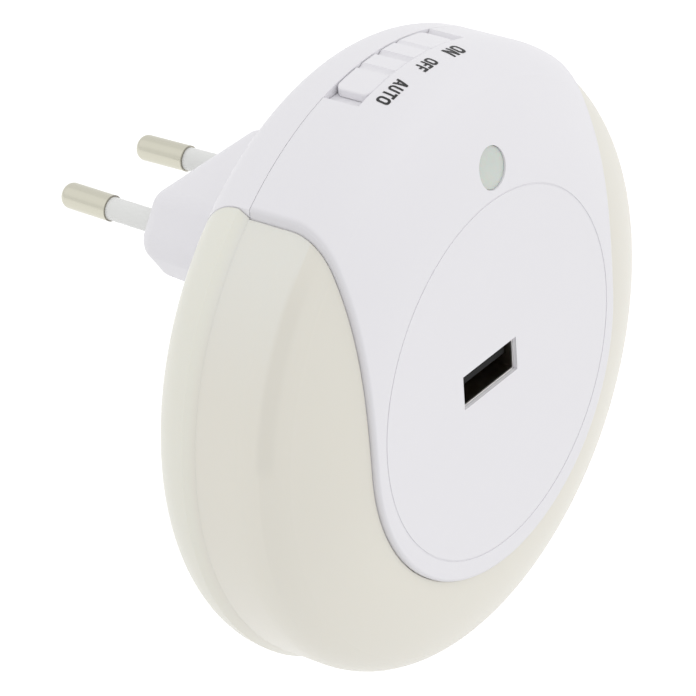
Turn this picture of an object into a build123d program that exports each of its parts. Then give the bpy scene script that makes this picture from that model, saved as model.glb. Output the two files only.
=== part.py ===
from build123d import *
from math import atan, cos, hypot, radians, sin, sqrt, tan
import os

os.makedirs("parts", exist_ok=True)

# Plug-in LED night light with a light sensor, a three-way switch and a USB-A socket.
#
# The origin is the middle of the plug face, between the pins. +Y runs into the wall, +X is
# to the right as seen from the front, +Z is up. The body is a thick disc whose axis runs
# along Y, AXIS_DROP below the pins. Depths are measured back from its front face and
# heights up from its axis.

# ---- round body ----------------------------------------------------------------------
BODY_R = 46.85
BODY_DEPTH = 31.0
AXIS_DROP = 15.6
FACE_R = 28.5            # flat front face
SHOULDER_IN = 3.95       # where the front rounding tightens, in from the side
SHOULDER_DEPTH = 4.4
SIDE_FRONT = 11.5        # the side is straight from this depth
SIDE_END = 10.5          # to this far ahead of the back
HEEL_IN = 3.55           # where the rear rounding slackens, in from the side
HEEL_AHEAD = 4.4         # and ahead of the back
BACK_R = 30.5            # flat back
WALL = 2.0
PARTING = 18.5           # the case splits across the disc at this depth
PARTING_GAP = 0.04       # each half of the white case stops this far from the parting plane

# ---- front cover and diffusers -----------------------------------------------------------
COVER_HALF = 29.7        # half width of the U-shaped cover, and radius of its lower end
COVER_EDGE_R = 0.55
REVEAL = 0.06            # joint between the cover and the front diffuser
PROUD = 0.8              # the cover stands this far proud of the front diffuser
REAR_PROUD = 0.05        # and the back shell this far proud of the rear diffuser
REAR_RAMP = 1.8          # length of the slope where the rear diffuser rises out of the front one
DIFFUSER_WALL = 1.8
RIM_W = 2.0              # thick rim of the diffuser round the cover
RIM_EDGE_R = 0.2
LEDGE_REACH = 2.2        # ledge that the cover rests on, in from the joint
LEDGE_WALL = 1.5
LEDGE_FIT = 0.2
RING_R = 27.6            # thin ring groove round the face
RING_UP = 1.1
RING_W = 0.25
RING_CUT = 0.1
PLATE_IN = 10.55         # edge of the round back plate, in from the side
SHELL_FIT = 0.15         # between the back shell and the rear diffuser, in plan
LINER_FIT = 0.25         # between the rear diffuser and the wall behind it
LINER_WALL = 1.8
WEB_W = 2.0

# ---- plug ------------------------------------------------------------------------------------
PLUG_REACH = 20.5        # from the back of the disc to the plug face
PLUG_HALF_W = 16.6       # at the face, at the side corners before rounding
PLUG_FLAT_HALF = 11.8
PLUG_HALF_H = 6.85
PLUG_FLARE = 0.9         # each side, from the face to the disc
PLUG_SIDE_R = 3.5
PLUG_CORNER_R = 3.0
PLUG_FACE_R = 2.6
PLUG_WALL = 2.0
PLUG_HOLLOW_R = 0.8
PLUG_END = 4.0
PIN_R = 2.0
PIN_LENGTH = 19.0
PIN_BARE = 9.0
PIN_BASE_PITCH = 18.6
PIN_TIP_PITCH = 17.5
PIN_TIP_R = 1.3
PIN_CORE_R = 1.4
PIN_HEAD_R = 2.7
PIN_HEAD_T = 1.4
HEAD_GAP = 0.1
PIN_TAIL_R = 1.1
PIN_TAIL = 3.6
SLEEVE_R = 1.75
PIN_FIT = 0.03
MOUTH_BEVEL = 0.2        # lead-in round each sleeve in the plug face
LEAD_R = 0.8
LEAD_PAD_X = 13.0
LEAD_PAD_UP = 5.0        # above the pins
LEAD_RUN = 7.0           # straight run at each end, before its bend

# ---- slide switch ----------------------------------------------------------------------------
SWITCH_X = 0.6
SWITCH_TRAVEL = 1.5      # from OFF to either end
KNOB_L = 20.4
KNOB_W = 5.7
KNOB_RECESS = 0.05       # top of the knob below the case
KNOB_CORNER_R = 1.2
KNOB_EDGE_R = 0.3
KNOB_EDGE_SHARE = 0.9    # most of the height of its ends that the edge radius may take
KNOB_GAP = 0.1
GROOVES = 3
GROOVE_PITCH = 4.4
GROOVE_R = 0.9
GROOVE_CUT = 0.6
POCKET_DEEP = 2.35       # floor of the pocket, in from the side
POCKET_FLOOR = 1.6
POCKET_RAMP = 45.0       # slope of the pocket ends, degrees
POCKET_END_PLAY = 0.2
POCKET_WALL = 1.5
SLIDE_GAP = 0.1
NECK_L = 4.8
NECK_AHEAD = 0.8         # the neck and the slot stand back from the front of the knob
FLANGE_L = 12.0
FLANGE_T = 0.9
FLANGE_LIP = 1.0         # ahead of the neck
SOCKET_L = 4.4
SOCKET_W = 3.0
SOCKET_CLEAR = 0.3       # above the switch body
ACTUATOR_CLEAR = 0.2     # end of the actuator below the flange
ACTUATOR_W = 1.5
ACTUATOR_D = 1.2
ACTUATOR_FIT = 0.05
FOOT_L = 4.4
FOOT_D = 1.6
FOOT_H = 2.0
FOOT_FIT = 0.15
SWITCH_L = 11.2
SWITCH_D = 3.6
SWITCH_H = 4.0
SWITCH_DOWN = 5.2        # top of the switch body below the pocket floor
SWITCH_SKIN = 0.6

# ---- main board and case screws --------------------------------------------------------------
BOARD_IN = 7.05          # edge of the board, in from the side
BOARD_DEPTH = 15.7
BOARD_T = 1.6
POST_PLACES = [(-23.0, 12.0), (23.0, 12.0), (0.0, -24.0)]
BOSS_R = 3.2
POST_R = 3.6
SCREW_R = 1.3
SCREW_L = 18.5
SCREW_HEAD_R = 2.7
SCREW_HEAD_T = 1.9
SCREW_SEAT = 4.5         # head seat ahead of the back
SCREW_CROSS = 2.4        # cross recess
SCREW_CROSS_W = 0.6
SCREW_CROSS_CUT = 1.0
HEAD_FIT = 0.25
SHANK_FIT = 0.2
PILOT_FIT = 0.03
PILOT_EXTRA = 0.5

# ---- light sensor ----------------------------------------------------------------------------
SENSOR_X = 1.3
SENSOR_IN = 13.95        # in from the side
WINDOW_R = 3.0
WINDOW_FIT = 0.08
WINDOW_RECESS = 0.3
WINDOW_SEAT = 3.4        # depth of the shelf it rests on
TUBE_R = 4.3
TUBE_BORE_R = 2.3
TUBE_END = 10.0
EYE_R = 1.5
EYE_L = 5.2
EYE_FLANGE_R = 1.9
EYE_FLANGE_T = 0.8
EYE_DOME_R = 1.3

# ---- USB-A socket ----------------------------------------------------------------------------
PORT_X = -2.45
PORT_UP = 2.4
PORT_W = 13.1            # opening in the cover
PORT_H = 5.3
PORT_LIP = 0.5
USB_W = 12.8
USB_H = 5.1
USB_SKIN = 0.25
USB_FIT = 0.1
USB_CORNER_R = 0.5
USB_SEAT_GAP = 0.05      # mouth of the shell behind the lip
COLLAR_W = 1.2
COLLAR_END = 5.0
TONGUE_W = 11.1
TONGUE_T = 1.84
TONGUE_UP = 1.05
TONGUE_BACK = 0.9        # behind the mouth of the shell
USB_BASE = 4.0
CONTACT_X = [-3.5, -1.0, 1.0, 3.5]
CONTACT_W = 1.0
CONTACT_T = 0.2
CONTACT_BACK = 0.6
LEG_W = 2.0
LEG_OUT = 1.0
LEG_FIT = 0.3

# ---- light tray and LEDs ---------------------------------------------------------------------
TRAY_T = 1.1
TRAY_WALL = 1.5
TRAY_IN = 4.25           # outer wall of the tray, in from the side
TRAY_HALF = 27.6
TRAY_FRONT = 7.8
TRAY_FIT = 0.1
LED_IN = 11.35           # ring of LEDs, in from the side
LED_COUNT = 10
LED_SPAN = 232.0
LED_WIDE = 3.5
LED_DEEP = 2.8
LED_THICK = 0.8
LED_FIT = 0.4            # between an LED and its window in the tray

# ---- supply parts on the back of the board, places as (x, height above the axis) ---------------
CAP_R = 3.15
CAP_CLEAR = 0.7          # between the tall parts and the back plate
CAP_PLACES = [(-3.7, 17.0), (3.7, 17.0)]
OUT_CAP_R = 4.0
OUT_CAP_CLEAR = 1.2
OUT_CAP_PLACE = (13.0, -12.0)
CAP_BEAD = 0.3
CAP_BEAD_UP = 1.2
CAP_BEAD_W = 0.8
TRANSFORMER_PLACE = (-15.5, -8.0)
CORE_W = 13.2
CORE_CLEAR = 0.5
CORE_T = 6.0
CORE_LEG = 1.8
CORE_MIDDLE = 3.4
CORE_YOKE = 1.7
BOBBIN_BASE = 2.0
BOBBIN_L = 13.0
BOBBIN_SKIN = 0.5
BOBBIN_FIT = 0.1
WINDING_T = 1.8
BRIDGE_PLACE = (17.5, 24.0)
BRIDGE_SIZE = (4.7, 3.9, 2.5)
CHIP_PLACE = (-2.5, -6.0)
CHIP_SIZE = (4.9, 3.9, 1.5)
DIODE_PLACE = (5.0, -8.0)
DIODE_SIZE = (4.3, 2.6, 2.2)
CHOKE_PLACE = (15.0, 1.0)
CHOKE_R = 3.6
CHOKE_L = 8.0
CHOKE_FLANGE = 1.2
CHOKE_WAIST = 0.9
CHOKE_EDGE = 0.2
SUPPRESSOR_PLACE = (-2.5, -14.0)
SUPPRESSOR_SIZE = (7.0, 3.6, 7.0)
FUSE_PLACE = (-16.5, 25.0)
FUSE_R = 1.5
FUSE_L = 8.0
FUSE_WIRE_R = 0.35
FUSE_WIRE_OUT = 2.0
FUSE_LIFT = 0.3
FUSE_EDGE_R = 0.5
CONTROL_PLACE = (13.0, 26.0)
CONTROL_SIZE = (4.9, 3.9, 1.5)
RESISTOR_PLACES = [(-8.0, 27.0), (-12.5, 27.0), (-17.0, 27.0), (-8.0, 23.5), (-12.5, 23.5)]
RESISTOR_SIZE = (3.2, 1.6, 0.6)

# ---- derived places --------------------------------------------------------------------------
FRONT_Y = -(BODY_DEPTH + PLUG_REACH)
AXIS_Z = -AXIS_DROP
PLUG_DEPTH = BODY_DEPTH + PLUG_REACH
BOARD_BACK = BOARD_DEPTH + BOARD_T
SIDE_BACK = BODY_DEPTH - SIDE_END
PLATE_R = BODY_R - PLATE_IN
BOARD_R = BODY_R - BOARD_IN
TRAY_R = BODY_R - TRAY_IN
LED_R = BODY_R - LED_IN
SENSOR_UP = BODY_R - SENSOR_IN
POCKET_UP = BODY_R - POCKET_DEEP
SWITCH_TOP = POCKET_UP - SWITCH_DOWN
ROOM_BEHIND = BODY_DEPTH - WALL - BOARD_BACK
CAP_L = ROOM_BEHIND - CAP_CLEAR
OUT_CAP_L = ROOM_BEHIND - OUT_CAP_CLEAR
CORE_H = ROOM_BEHIND - BOBBIN_BASE - CORE_CLEAR
OPENING_HALF = COVER_HALF + REVEAL
LEDGE_OUTSIDE = WALL + LEDGE_FIT
LEDGE_INSIDE = LEDGE_OUTSIDE + LEDGE_WALL
LEDGE_HALF = OPENING_HALF - LEDGE_REACH
DIFFUSER_INSIDE = PROUD + DIFFUSER_WALL
LINER_OUTSIDE = DIFFUSER_INSIDE + LINER_FIT
LINER_INSIDE = LINER_OUTSIDE + LINER_WALL
COVER_BACK = PARTING - PARTING_GAP
SHELL_FRONT = PARTING + PARTING_GAP
BODY_AXIS = Axis((0, FRONT_Y, AXIS_Z), (0, 1, 0))
AXIS_PLANE = Plane(origin=(0, FRONT_Y, AXIS_Z), x_dir=(1, 0, 0), z_dir=(0, 0, 1))
FAR = 2 * BODY_R
BEYOND = 1.0             # how far a cutting block runs past what it cuts
BEHIND = BODY_DEPTH + BEYOND
RIM_TOL = 0.01


def disc_plane(depth):
    """A plane across the disc: x to the right, y up from the axis, normal to the front."""
    return Plane(origin=(0, FRONT_Y + depth, AXIS_Z), x_dir=(1, 0, 0), z_dir=(0, -1, 0))


def level_plane(height):
    """A level plane: x to the right, y is depth, normal up."""
    return AXIS_PLANE.offset(height)


# the four tangent arcs of the outline, as (radius, depth)
SIDE = Line((BODY_R, SIDE_BACK), (BODY_R, SIDE_FRONT))
SHOULDER = TangentArc(SIDE @ 1, (BODY_R - SHOULDER_IN, SHOULDER_DEPTH), tangent=SIDE % 1)
BROW = TangentArc(SHOULDER @ 1, (FACE_R, 0), tangent=SHOULDER % 1)
HEEL = TangentArc(SIDE @ 0, (BODY_R - HEEL_IN, BODY_DEPTH - HEEL_AHEAD), tangent=-(SIDE % 0))
SOLE = TangentArc(HEEL @ 1, (BACK_R, BODY_DEPTH), tangent=HEEL % 1)


def shrunk(arc, share, inset):
    """The point at this share of an arc, moved inwards by inset."""
    spoke = arc @ share - arc.arc_center
    return arc.arc_center + spoke.normalized() * (arc.radius - inset)


def at_depth(arc, depth, inset):
    """Where an arc moved inwards by inset meets a depth."""
    rise = depth - arc.arc_center.Y
    return Vector(arc.arc_center.X + sqrt((arc.radius - inset) ** 2 - rise ** 2), depth)


def hull(inset=0.0):
    """The whole round body, shrunk by inset on every side."""
    front, back = inset, BODY_DEPTH - inset
    with BuildPart() as solid:
        with BuildSketch(AXIS_PLANE):
            with BuildLine():
                face = Line((0, front), at_depth(BROW, front, inset))
                ThreePointArc(face @ 1, shrunk(BROW, 0.5, inset), shrunk(BROW, 0, inset))
                ThreePointArc(
                    shrunk(BROW, 0, inset), shrunk(SHOULDER, 0.5, inset), shrunk(SHOULDER, 0, inset)
                )
                Line(shrunk(SHOULDER, 0, inset), shrunk(HEEL, 0, inset))
                ThreePointArc(
                    shrunk(HEEL, 0, inset), shrunk(HEEL, 0.5, inset), shrunk(SOLE, 0, inset)
                )
                plate = Line(at_depth(SOLE, back, inset), (0, back))
                ThreePointArc(shrunk(SOLE, 0, inset), shrunk(SOLE, 0.5, inset), plate @ 0)
                Line(plate @ 1, face @ 0)
            make_face()
        revolve(axis=BODY_AXIS)
    return solid.part


def u_block(half_width, front=-BEYOND, back=BEHIND):
    """A block with the outline of the cover: a round lower end and straight sides above."""
    with BuildPart() as block:
        with BuildSketch(disc_plane(back)):
            Circle(half_width)
            Rectangle(2 * half_width, FAR, align=(Align.CENTER, Align.MIN))
        extrude(amount=back - front)
    return block.part


def strip_and_disc(half_width, radius, front, back=BEHIND):
    """A block with the outline of the back shell: a disc and a strip up over the top."""
    with BuildPart() as block:
        with BuildSketch(disc_plane(back)):
            Circle(radius)
            Rectangle(2 * half_width, FAR, align=(Align.CENTER, Align.MIN))
        extrude(amount=back - front)
    return block.part


def disc_block(radius, front, back):
    """A plain cylinder on the axis of the body."""
    with BuildPart() as block:
        with BuildSketch(disc_plane(back)):
            Circle(radius)
        extrude(amount=back - front)
    return block.part


def save(part, name):
    """Label a finished piece and write it to its own file."""
    part.label = name
    export_step(part, f"parts/{name}.step")


outer_hull = hull()
cover_cavity = hull(WALL)

# ---- front cover -----------------------------------------------------------------------------
KNOB_FRONT = PARTING - KNOB_GAP - KNOB_W
POCKET_FRONT = KNOB_FRONT - KNOB_GAP
POCKET_HALF = KNOB_L / 2 + SWITCH_TRAVEL + POCKET_END_PLAY
POCKET_ROOM = BODY_R - POCKET_UP
RAMP_RUN = POCKET_ROOM / tan(radians(POCKET_RAMP))
FLOOR_HALF = POCKET_HALF + RAMP_RUN + POCKET_WALL
SLOT_HALF = NECK_L / 2 + SWITCH_TRAVEL + POCKET_END_PLAY
NECK_FRONT = KNOB_FRONT + NECK_AHEAD
SLOT_FRONT = NECK_FRONT - KNOB_GAP

with BuildPart() as cover_works:
    # floor box of the switch pocket, screw bosses, sensor tube and socket collar
    with BuildSketch(level_plane(POCKET_UP - POCKET_FLOOR)):
        with Locations((SWITCH_X, (POCKET_FRONT - POCKET_WALL + COVER_BACK) / 2)):
            Rectangle(2 * FLOOR_HALF, COVER_BACK - POCKET_FRONT + POCKET_WALL)
    extrude(amount=POCKET_FLOOR + POCKET_ROOM)
    with BuildSketch(disc_plane(BOARD_DEPTH)):
        with Locations(POST_PLACES):
            Circle(BOSS_R)
    extrude(amount=BOARD_DEPTH)
    with BuildSketch(disc_plane(TUBE_END)):
        with Locations((SENSOR_X, SENSOR_UP)):
            Circle(TUBE_R)
    extrude(amount=TUBE_END)
    with BuildSketch(disc_plane(COLLAR_END)):
        with Locations((PORT_X, PORT_UP)):
            Rectangle(USB_W + 2 * (USB_FIT + COLLAR_W), USB_H + 2 * (USB_FIT + COLLAR_W))
    extrude(amount=COLLAR_END)
    add(hull(WALL / 2), mode=Mode.INTERSECT)


def joint_edges(edges, half_width):
    """The edges that run along the open joint at this half width, ahead of the parting plane."""
    found = []
    for edge in edges:
        place = edge.center()
        up = place.Z - AXIS_Z
        across = abs(place.X) if up > 0 else hypot(place.X, up)
        ahead_of_parting = place.Y - FRONT_Y < COVER_BACK - RIM_TOL
        if abs(across - half_width) < RIM_TOL and abs(up) > RIM_TOL and ahead_of_parting:
            found.append(edge)
    return found


with BuildPart() as front_cover:
    add(outer_hull)
    add(u_block(COVER_HALF, back=COVER_BACK), mode=Mode.INTERSECT)
    fillet(joint_edges(front_cover.edges(), COVER_HALF), COVER_EDGE_R)
    add(cover_cavity, mode=Mode.SUBTRACT)
    add(cover_works.part)
    # switch pocket: level floor with ramped ends, open at the parting plane
    with BuildSketch(disc_plane(PARTING)):
        with BuildLine():
            Polyline(
                (SWITCH_X - POCKET_HALF - RAMP_RUN, BODY_R),
                (SWITCH_X - POCKET_HALF, POCKET_UP),
                (SWITCH_X + POCKET_HALF, POCKET_UP),
                (SWITCH_X + POCKET_HALF + RAMP_RUN, BODY_R),
                close=True,
            )
        make_face()
    extrude(amount=PARTING - POCKET_FRONT, mode=Mode.SUBTRACT)
    with BuildSketch(level_plane(POCKET_UP - POCKET_FLOOR)):
        with Locations((SWITCH_X, (SLOT_FRONT + PARTING) / 2)):
            Rectangle(2 * SLOT_HALF, PARTING - SLOT_FRONT)
    extrude(amount=POCKET_FLOOR, mode=Mode.SUBTRACT)
    # pilot holes for the case screws
    with BuildSketch(disc_plane(BOARD_DEPTH)):
        with Locations(POST_PLACES):
            Circle(SCREW_R + PILOT_FIT)
    screw_tip = BODY_DEPTH - SCREW_SEAT - SCREW_L
    extrude(amount=BOARD_DEPTH - screw_tip + PILOT_EXTRA, mode=Mode.SUBTRACT)
    # sensor window seat and bore
    with BuildSketch(disc_plane(WINDOW_SEAT)):
        with Locations((SENSOR_X, SENSOR_UP)):
            Circle(WINDOW_R + WINDOW_FIT)
    extrude(amount=WINDOW_SEAT, mode=Mode.SUBTRACT)
    with BuildSketch(disc_plane(TUBE_END)):
        with Locations((SENSOR_X, SENSOR_UP)):
            Circle(TUBE_BORE_R)
    extrude(amount=TUBE_END, mode=Mode.SUBTRACT)
    # socket opening, and the wider seat of its metal shell behind the lip
    with BuildSketch(disc_plane(PORT_LIP)):
        with Locations((PORT_X, PORT_UP)):
            Rectangle(PORT_W, PORT_H)
    extrude(amount=PORT_LIP, mode=Mode.SUBTRACT)
    with BuildSketch(disc_plane(COLLAR_END)):
        with Locations((PORT_X, PORT_UP)):
            Rectangle(USB_W + 2 * USB_FIT, USB_H + 2 * USB_FIT)
    extrude(amount=COLLAR_END - PORT_LIP, mode=Mode.SUBTRACT)
    # ring groove
    with BuildSketch(disc_plane(RING_CUT)):
        with Locations((0, RING_UP)):
            Circle(RING_R)
            Circle(RING_R - RING_W, mode=Mode.SUBTRACT)
    extrude(amount=RING_CUT, mode=Mode.SUBTRACT)

save(front_cover.part, "front_cover")

# ---- diffusers -------------------------------------------------------------------------------
with BuildPart() as beyond_rim:
    add(hull(DIFFUSER_INSIDE))
    add(u_block(OPENING_HALF + RIM_W), mode=Mode.SUBTRACT)

with BuildPart() as ledge:
    add(hull(LEDGE_OUTSIDE))
    add(disc_block(FAR, -BEYOND, PARTING), mode=Mode.INTERSECT)
    add(u_block(OPENING_HALF + RIM_W / 2), mode=Mode.INTERSECT)
    add(u_block(LEDGE_HALF), mode=Mode.SUBTRACT)

with BuildPart() as diffuser_front:
    add(hull(PROUD))
    add(disc_block(FAR, -BEYOND, PARTING), mode=Mode.INTERSECT)
    add(u_block(OPENING_HALF), mode=Mode.SUBTRACT)
    fillet(joint_edges(diffuser_front.edges(), OPENING_HALF), RIM_EDGE_R)
    add(beyond_rim.part, mode=Mode.SUBTRACT)
    add(ledge.part)
    add(hull(LEDGE_INSIDE), mode=Mode.SUBTRACT)
save(diffuser_front.part, "diffuser_front")


with BuildPart() as diffuser_rear:
    add(hull(REAR_PROUD))
    with BuildSketch(AXIS_PLANE):
        with BuildLine():
            Polyline(
                (0, PARTING),
                (BODY_R - PROUD, PARTING),
                (BODY_R, PARTING + REAR_RAMP),
                (BODY_R, BEHIND),
                (0, BEHIND),
                close=True,
            )
        make_face()
    revolve(axis=BODY_AXIS, mode=Mode.INTERSECT)
    add(hull(DIFFUSER_INSIDE), mode=Mode.SUBTRACT)
    add(
        strip_and_disc(COVER_HALF + SHELL_FIT, PLATE_R + SHELL_FIT, PARTING - BEYOND),
        mode=Mode.SUBTRACT,
    )
save(diffuser_rear.part, "diffuser_rear")

# ---- rear housing with the plug body ---------------------------------------------------------
def plug_prism(root_depth, end_depth, inset, side_r, corner_r):
    """The flattened hexagon of the plug, slightly wider at the disc."""
    with BuildPart() as prism:
        for depth in (root_depth, end_depth):
            grow = PLUG_FLARE * (PLUG_DEPTH - depth) / PLUG_REACH - inset
            with BuildSketch(disc_plane(depth)):
                with Locations((0, AXIS_DROP)):
                    Polygon(
                        (PLUG_HALF_W + grow, 0),
                        (PLUG_FLAT_HALF + grow, PLUG_HALF_H + grow),
                        (-PLUG_FLAT_HALF - grow, PLUG_HALF_H + grow),
                        (-PLUG_HALF_W - grow, 0),
                        (-PLUG_FLAT_HALF - grow, -PLUG_HALF_H - grow),
                        (PLUG_FLAT_HALF + grow, -PLUG_HALF_H - grow),
                    )
        loft(ruled=True)
        along_plug = (prism.edges() - prism.faces().sort_by(Axis.Y)[0].edges()
                      - prism.faces().sort_by(Axis.Y)[-1].edges())
        side_edges = along_plug.filter_by(lambda e: abs(e.center().Z) < RIM_TOL)
        corner_edges = along_plug - side_edges
        fillet(side_edges, side_r)
        fillet(corner_edges, corner_r)
    return prism.part


with BuildPart() as plug_body:
    add(plug_prism(BODY_DEPTH - WALL / 2, PLUG_DEPTH, 0, PLUG_SIDE_R, PLUG_CORNER_R))
    fillet(plug_body.faces().sort_by(Axis.Y)[-1].edges(), PLUG_FACE_R)

with BuildPart() as plug_hollow:
    add(plug_prism(BODY_DEPTH - 2 * WALL, PLUG_DEPTH - PLUG_END, PLUG_WALL,
                   PLUG_HOLLOW_R, PLUG_HOLLOW_R))

PIN_LEAN = atan((PIN_BASE_PITCH - PIN_TIP_PITCH) / 2 / PIN_LENGTH)


def pin_plane(side, along=0.0):
    """A plane across one pin, `along` it from the plug face; normal out to the tip."""
    direction = Vector(-side * sin(PIN_LEAN), cos(PIN_LEAN), 0)
    foot = Vector(side * PIN_BASE_PITCH / 2, 0, 0)
    return Plane(origin=foot + direction * along, x_dir=(0, 0, 1), z_dir=direction)


with BuildPart() as liner:
    add(hull(LINER_OUTSIDE))
    add(disc_block(FAR, SHELL_FRONT, BEHIND), mode=Mode.INTERSECT)

with BuildPart() as plate_cavity:
    add(cover_cavity)
    add(strip_and_disc(COVER_HALF - WEB_W, PLATE_R - WEB_W, PARTING - BEYOND), mode=Mode.INTERSECT)

with BuildPart() as rear_housing:
    add(outer_hull)
    add(strip_and_disc(COVER_HALF, PLATE_R, SHELL_FRONT), mode=Mode.INTERSECT)
    add(liner.part)
    add(hull(LINER_INSIDE), mode=Mode.SUBTRACT)
    add(plate_cavity.part, mode=Mode.SUBTRACT)
    add(plug_body.part)
    # screw posts that the board rests on
    with BuildSketch(disc_plane(BODY_DEPTH - WALL / 2)):
        with Locations(POST_PLACES):
            Circle(POST_R)
    extrude(amount=BODY_DEPTH - WALL / 2 - BOARD_BACK)
    add(plug_hollow.part, mode=Mode.SUBTRACT)
    with BuildSketch(disc_plane(BODY_DEPTH)):
        with Locations(POST_PLACES):
            Circle(SCREW_R + SHANK_FIT)
    extrude(amount=BODY_DEPTH - BOARD_BACK, mode=Mode.SUBTRACT)
    with BuildSketch(disc_plane(BODY_DEPTH)):
        with Locations(POST_PLACES):
            Circle(SCREW_HEAD_R + HEAD_FIT)
    extrude(amount=SCREW_SEAT, mode=Mode.SUBTRACT)
    for side in (-1, 1):
        with BuildSketch(pin_plane(side, BEYOND)):
            Circle(SLEEVE_R + PIN_FIT)
        extrude(amount=-(PLUG_END + 2 * BEYOND), mode=Mode.SUBTRACT)
    plug_face = rear_housing.faces().sort_by(Axis.Y)[-1]
    mouths = plug_face.edges() - plug_face.outer_wire().edges()
    chamfer(mouths, MOUTH_BEVEL)
save(rear_housing.part, "rear_housing")

# ---- pins, sleeves and leads -----------------------------------------------------------------
SLEEVE_TOP = PIN_LENGTH - PIN_BARE
HEAD_ALONG = -(PLUG_END + HEAD_GAP)
for side, word in ((-1, "left"), (1, "right")):
    with BuildPart() as pin:
        with BuildSketch(pin_plane(side, SLEEVE_TOP)):
            Circle(PIN_R)
        extrude(amount=PIN_BARE)
        fillet(pin.edges().sort_by(Axis.Y)[-1], PIN_TIP_R)
        with BuildSketch(pin_plane(side, HEAD_ALONG)):
            Circle(PIN_CORE_R)
        extrude(amount=SLEEVE_TOP - HEAD_ALONG)
        with BuildSketch(pin_plane(side, HEAD_ALONG)):
            Circle(PIN_HEAD_R)
        extrude(amount=-PIN_HEAD_T)
        with BuildSketch(pin_plane(side, HEAD_ALONG - PIN_HEAD_T)):
            Circle(PIN_TAIL_R)
        extrude(amount=-PIN_TAIL)
    save(pin.part, f"pin_{word}")

    with BuildPart() as sleeve:
        with BuildSketch(pin_plane(side, -PLUG_END)):
            Circle(SLEEVE_R)
            Circle(PIN_CORE_R + PIN_FIT, mode=Mode.SUBTRACT)
        extrude(amount=SLEEVE_TOP + PLUG_END)
    save(sleeve.part, f"pin_sleeve_{word}")


def lead_route(side):
    """Points of one lead: straight off its pin, across, and square onto its pad."""
    tail_end = HEAD_ALONG - PIN_HEAD_T - PIN_TAIL
    pad = Vector(side * LEAD_PAD_X, FRONT_Y + BOARD_BACK, LEAD_PAD_UP)
    return [
        pin_plane(side, tail_end).origin,
        pin_plane(side, tail_end - LEAD_RUN).origin,
        pad + Vector(0, LEAD_RUN, 0),
        pad,
    ]


def tangent_radii(points):
    """The radius at each corner: as large as its two runs allow."""
    radii = []
    for before, corner, after in zip(points, points[1:], points[2:]):
        run_in, run_out = corner - before, after - corner
        half_turn = radians(run_in.get_angle(run_out) / 2)
        radii.append(0.45 * min(run_in.length, run_out.length) / tan(half_turn))
    return radii


for side, name in ((-1, "neutral_lead"), (1, "live_lead")):
    route = lead_route(side)
    bend_radii = tangent_radii(route)
    print(name, "bend radii", [round(radius, 1) for radius in bend_radii])
    with BuildPart() as lead:
        with BuildLine() as path:
            FilletPolyline(*route, radius=bend_radii)
        with BuildSketch(Plane(origin=path.line @ 0, z_dir=path.line % 0)):
            Circle(LEAD_R)
        sweep(path=path.line)
    save(lead.part, name)

# ---- switch ----------------------------------------------------------------------------------
KNOB_BACK = KNOB_FRONT + KNOB_W
SWITCH_MID = BOARD_DEPTH - SWITCH_D / 2
FLANGE_TOP = POCKET_UP - POCKET_FLOOR - SLIDE_GAP
FLANGE_FRONT = NECK_FRONT - FLANGE_LIP
knob_end_up = sqrt((BODY_R - KNOB_RECESS) ** 2 - (SWITCH_X + KNOB_L / 2) ** 2)
knob_end_h = knob_end_up - POCKET_UP - SLIDE_GAP

with BuildPart() as switch_knob:
    with BuildSketch(level_plane(POCKET_UP + SLIDE_GAP)):
        with Locations((SWITCH_X, KNOB_FRONT + KNOB_W / 2)):
            RectangleRounded(KNOB_L, KNOB_W, KNOB_CORNER_R)
    extrude(amount=POCKET_ROOM)
    add(hull(KNOB_RECESS), mode=Mode.INTERSECT)
    fillet(
        switch_knob.faces().sort_by(Axis.Z)[-1].edges(),
        min(KNOB_EDGE_R, KNOB_EDGE_SHARE * knob_end_h),
    )
    groove_up = BODY_R - KNOB_RECESS - GROOVE_CUT + GROOVE_R
    with BuildSketch(disc_plane(KNOB_BACK)):
        with Locations((SWITCH_X, groove_up)):
            with GridLocations(GROOVE_PITCH, 0, GROOVES, 1):
                Circle(GROOVE_R)
    extrude(amount=KNOB_W, mode=Mode.SUBTRACT)
    # neck through the slot, flange under the floor, socket over the actuator
    with BuildSketch(level_plane(FLANGE_TOP)):
        with Locations((SWITCH_X, (NECK_FRONT + KNOB_BACK) / 2)):
            Rectangle(NECK_L, KNOB_BACK - NECK_FRONT)
    extrude(amount=POCKET_FLOOR + 2 * SLIDE_GAP)
    with BuildSketch(level_plane(FLANGE_TOP - FLANGE_T)):
        with Locations((SWITCH_X, (FLANGE_FRONT + KNOB_BACK) / 2)):
            Rectangle(FLANGE_L, KNOB_BACK - FLANGE_FRONT)
    extrude(amount=FLANGE_T)
    with BuildSketch(level_plane(SWITCH_TOP + SOCKET_CLEAR)):
        with Locations((SWITCH_X, SWITCH_MID)):
            Rectangle(SOCKET_L, SOCKET_W)
            Rectangle(
                ACTUATOR_W + 2 * ACTUATOR_FIT, ACTUATOR_D + 2 * ACTUATOR_FIT, mode=Mode.SUBTRACT
            )
    extrude(amount=FLANGE_TOP - FLANGE_T - SWITCH_TOP - SOCKET_CLEAR)
save(switch_knob.part, "switch_knob")

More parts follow.
